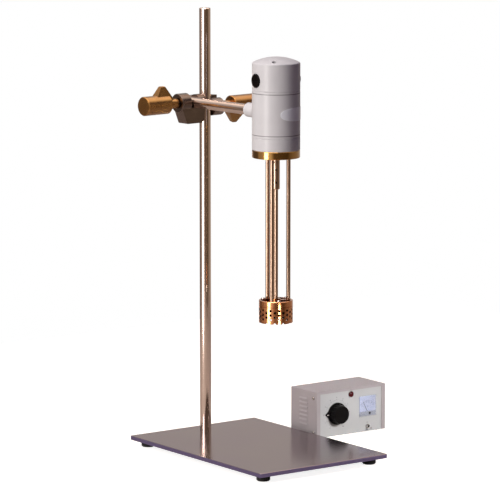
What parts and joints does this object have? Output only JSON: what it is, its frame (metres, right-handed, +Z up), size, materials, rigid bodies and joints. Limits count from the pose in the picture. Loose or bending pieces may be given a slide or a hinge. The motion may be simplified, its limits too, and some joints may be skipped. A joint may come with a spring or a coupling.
{
  "type": "high shear mixer",
  "caption": "Laboratory high shear mixer: motor head with perforated stator on a rod stand with a boss head, and a separate speed controller.",
  "frame": {"origin": "on the bench, under the middle of the bounding box of the whole outfit", "axes": "+Z up along the stand rod, -Y to the front, where the drive head hangs over the plate and the controller's knob faces; +X to the right, where the controller stands"},
  "size_m": [0.5058, 0.43, 0.852],
  "materials": {
    "bright_steel_plate": "ground and polished, faint scratches",
    "bright_rod": "bright drawn and polished",
    "clamp_metal": "dark satin plated casting, slightly worn",
    "brass_knob": "dulled brass, satin",
    "painted_body": "pale grey paint, satin gloss",
    "brass_ring": "turned brass, slightly dulled",
    "head_metal": "bright turned metal with a warm tone",
    "steel_small": "plain bright fasteners",
    "dark_screw": "blackened socket screws",
    "black_rubber": "matt black rubber",
    "black_plastic": "matt black moulding",
    "case_paint": "light grey-beige enamel",
    "panel_paint": "light grey enamel, smooth",
    "galvanised_sheet": "plain bent sheet",
    "motor_iron": "dark varnished laminations",
    "winding_copper": "enamelled copper wire",
    "bare_copper": "bare copper bars",
    "carbon": "pressed carbon",
    "bearing_steel": "ground bearing steel",
    "red_lens": "deep red clear moulding",
    "clear_cover": "clear moulding",
    "meter_white": "white printed dial plate",
    "needle_red": "dark painted pointer",
    "chromed_trim": "chromed brass"
  },
  "bodies": {
    "stand": {"base_plate": "bright_steel_plate", "rubber_feet": "black_rubber", "foot_screws": "steel_small", "stand_rod": "bright_rod", "rod_nut": "steel_small"},
    "boss_head": {"boss_head": "clamp_metal"},
    "rod_clamp": {"rod_clamp_knob": "brass_knob", "rod_clamp_screw": "steel_small"},
    "arm_clamp": {"arm_clamp_knob": "brass_knob", "arm_clamp_screw": "steel_small"},
    "arm": {"arm_bar": "bright_rod"},
    "head": {"top_cap": "painted_body", "motor_housing": "painted_body", "arm_set_screw": "steel_small", "lower_collar": "painted_body", "brass_flange": "brass_ring", "through_bolts": "dark_screw", "brush_holders": "bare_copper", "carbon_brushes": "carbon", "brush_springs": "bearing_steel", "brush_caps": "black_plastic", "field_core": "motor_iron", "field_coils": "winding_copper", "bearing_outer_rings": "bearing_steel", "cable_gland": "black_plastic", "support_rods": "head_metal", "head_spider": "head_metal", "shaft_bush": "brass_ring", "stator": "head_metal", "stator_screws": "steel_small"},
    "rotor_line": {"motor_shaft": "bearing_steel", "bearing_inner_rings": "bearing_steel", "armature_core": "motor_iron", "armature_windings": "winding_copper", "commutator": "bare_copper", "cooling_fan": "black_plastic", "coupling_sleeve": "head_metal", "coupling_screws": "dark_screw", "mixing_shaft": "head_metal", "rotor": "head_metal", "rotor_nut": "head_metal"},
    "controller": {"controller_chassis": "galvanised_sheet", "controller_cover": "case_paint", "front_panel": "panel_paint", "controller_pads": "black_rubber", "cover_screws": "steel_small", "regulator_body": "black_plastic", "lamp_bezel": "chromed_trim", "lamp_lens": "red_lens", "meter_case": "meter_white", "meter_glass": "clear_cover", "toggle_body": "chromed_trim", "output_socket": "black_plastic", "fuse_holder": "black_plastic", "mains_gland": "black_plastic"},
    "speed_control": {"regulator_shaft": "bearing_steel", "speed_knob": "black_plastic"},
    "meter_pointer": {"meter_needle": "needle_red"},
    "toggle_lever": {"toggle_bat": "chromed_trim"}
  },
  "joints": [
    {"name": "clamp_height", "type": "slide", "parent": "stand", "child": "boss_head", "axis": [0, 0, 1], "range_m": [-0.24, 0.15]},
    {"name": "rod_clamp_turn", "type": "hinge", "parent": "boss_head", "child": "rod_clamp", "pos_m": [-0.0597, 0.17531, 0.6586], "axis": [0.9962, 0.0872, 0], "range_deg": [-60, 300]},
    {"name": "arm_clamp_turn", "type": "hinge", "parent": "boss_head", "child": "arm_clamp", "pos_m": [-0.16769, 0.16586, 0.6716], "axis": [-0.9962, -0.0872, 0], "range_deg": [-60, 300]},
    {"name": "arm_reach", "type": "slide", "parent": "boss_head", "child": "arm", "axis": [0.0872, -0.9962, 0], "range_m": [-0.14, 0.01]},
    {"name": "head_roll", "type": "hinge", "parent": "arm", "child": "head", "pos_m": [-0.13391, 0.16882, 0.6716], "axis": [0.0872, -0.9962, 0], "range_deg": [-30, 30]},
    {"name": "rotor_spin", "type": "hinge", "parent": "head", "child": "rotor_line", "pos_m": [-0.11218, -0.07963, 0.6716], "axis": [0, 0, 1], "continuous": true},
    {"name": "controller_lift", "type": "slide", "parent": "stand", "child": "controller", "axis": [0, 0, 1], "range_m": [0, 0.2]},
    {"name": "speed_knob_turn", "type": "hinge", "parent": "controller", "child": "speed_control", "pos_m": [0.13025, 0.0459, 0.0463], "axis": [0, 1, 0], "range_deg": [-60, 240]},
    {"name": "meter_swing", "type": "hinge", "parent": "controller", "child": "meter_pointer", "pos_m": [0.20715, 0.0459, 0.0403], "axis": [0, 1, 0], "range_deg": [-18, 72]},
    {"name": "power_switch", "type": "hinge", "parent": "controller", "child": "toggle_lever", "pos_m": [0.20715, 0.0443, 0.0122], "axis": [-1, 0, 0], "range_deg": [0, 25]}
  ],
  "couplings": [
    {"joint": "meter_swing", "follows": "speed_knob_turn", "ratio": 0.3}
  ]
}
